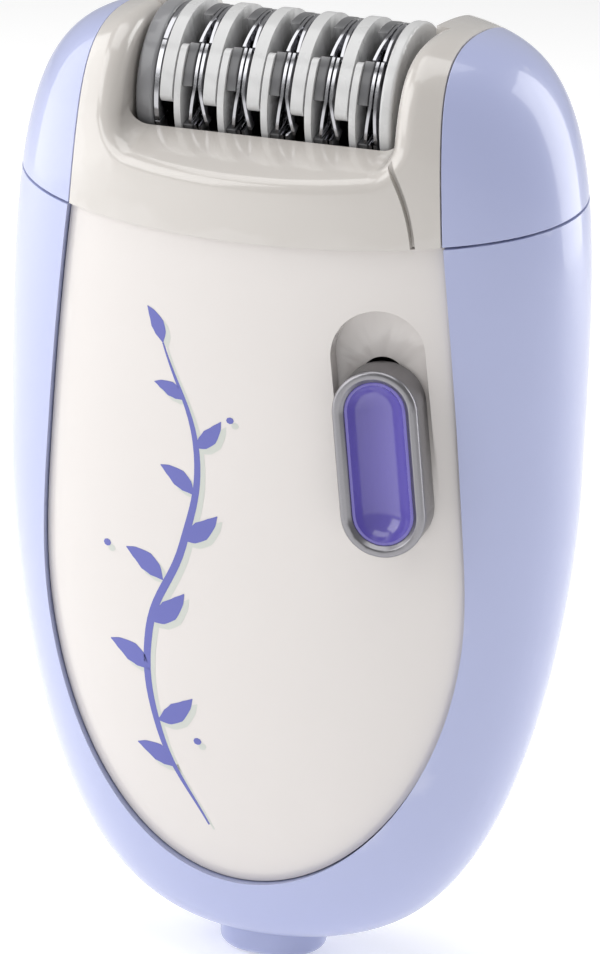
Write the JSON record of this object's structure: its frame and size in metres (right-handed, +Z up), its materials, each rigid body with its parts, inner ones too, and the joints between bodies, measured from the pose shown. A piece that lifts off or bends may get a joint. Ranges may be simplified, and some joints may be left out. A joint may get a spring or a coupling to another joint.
{
  "type": "epilator",
  "caption": "Hand-held epilator with a lift-off head, a turning drum of bent steel blades, a thumb slide switch and a motor and gear train inside its oval body.",
  "frame": {"origin": "centre of the bounding box's bottom, in the middle of the socket collar's flat end", "axes": "+Z up from the power inlet to the head, -Y the front with the panel, +X the side with the slide switch"},
  "size_m": [0.0622, 0.0366, 0.1013],
  "materials": {
    "lavender": "smooth satin",
    "pearl_white": "glossy pearl",
    "screw_steel": "plain",
    "white_plastic": "moulded",
    "dark_plastic": "moulded",
    "brass": "plain",
    "lead_red": "insulation",
    "grey_plastic": "moulded",
    "motor_steel": "zinc plated",
    "magnet": "sintered",
    "board": "solder mask",
    "satin_silver": "satin silver coating",
    "purple_plastic": "gloss",
    "gear_plastic": "acetal",
    "arc_plastic": "moulded",
    "comb_grey": "moulded",
    "blade_steel": "polished steel"
  },
  "bodies": {
    "handle": {"front_shell": "lavender", "rear_shell": "lavender", "front_panel": "pearl_white", "shell_screws": "screw_steel", "socket_collar": "lavender", "inlet_block": "dark_plastic", "inlet_pins": "brass", "inlet_leads": "lead_red", "top_deck": "white_plastic", "chassis": "grey_plastic", "gear_bracket": "grey_plastic", "upper_idler_pin": "screw_steel", "lower_idler_pin": "screw_steel", "motor_can": "motor_steel", "motor_end_cap": "white_plastic", "motor_terminals": "brass", "motor_magnets": "magnet", "motor_leads": "lead_red", "circuit_board": "board", "board_screws": "screw_steel", "board_capacitor": "dark_plastic", "board_diodes": "dark_plastic", "switch_unit": "dark_plastic", "detent_spring": "screw_steel", "release_guide": "grey_plastic", "release_spring": "screw_steel"},
    "slide": {"slider_bezel": "satin_silver", "slider_inlay": "purple_plastic", "slider_stem": "grey_plastic"},
    "rotor": {"rotor_shaft": "screw_steel", "rotor_core": "motor_steel", "motor_pinion": "brass"},
    "lower_gear": {"lower_idler": "gear_plastic"},
    "upper_gear": {"upper_idler": "gear_plastic"},
    "release": {"release_button": "lavender"},
    "head": {"head_frame": "pearl_white", "side_cap_right": "lavender", "side_cap_left": "lavender", "head_base": "white_plastic", "latch_hooks": "white_plastic", "bush_right": "brass", "bush_left": "brass"},
    "drum": {"drum_hub": "dark_plastic", "drum_shaft": "screw_steel", "drum_gear": "gear_plastic", "left_disc": "grey_plastic", "left_inner_disc": "blade_steel", "right_disc": "arc_plastic", "upper_arcs": "arc_plastic", "lower_arcs": "arc_plastic", "hair_combs": "comb_grey", "blades_left": "blade_steel", "blades_right": "blade_steel"}
  },
  "joints": [
    {"name": "slide_switch", "type": "slide", "parent": "handle", "child": "slide", "axis": [-0.1227, -0.0151, 0.9923], "range_m": [0, 0.005]},
    {"name": "head_lift", "type": "slide", "parent": "handle", "child": "head", "axis": [0, 0, 1], "range_m": [0, 0.03]},
    {"name": "drum_spin", "type": "hinge", "parent": "head", "child": "drum", "pos_m": [0, -0.0025, 0.0928], "axis": [1, 0, 0], "continuous": true},
    {"name": "upper_gear_spin", "type": "hinge", "parent": "handle", "child": "upper_gear", "pos_m": [0, -0.001, 0.08291], "axis": [1, 0, 0], "continuous": true},
    {"name": "lower_gear_spin", "type": "hinge", "parent": "handle", "child": "lower_gear", "pos_m": [0, 0.0015, 0.0722], "axis": [1, 0, 0], "continuous": true},
    {"name": "rotor_spin", "type": "hinge", "parent": "handle", "child": "rotor", "pos_m": [0, 0.0015, 0.0637], "axis": [1, 0, 0], "continuous": true},
    {"name": "release_press", "type": "slide", "parent": "handle", "child": "release", "axis": [0, -1, 0], "range_m": [0, 0.0014], "stiffness_N_per_m": 800, "springref_m": -0.001}
  ],
  "couplings": [
    {"joint": "upper_gear_spin", "follows": "drum_spin", "ratio": -1},
    {"joint": "lower_gear_spin", "follows": "drum_spin", "ratio": 0.83333},
    {"joint": "rotor_spin", "follows": "drum_spin", "ratio": -2}
  ]
}
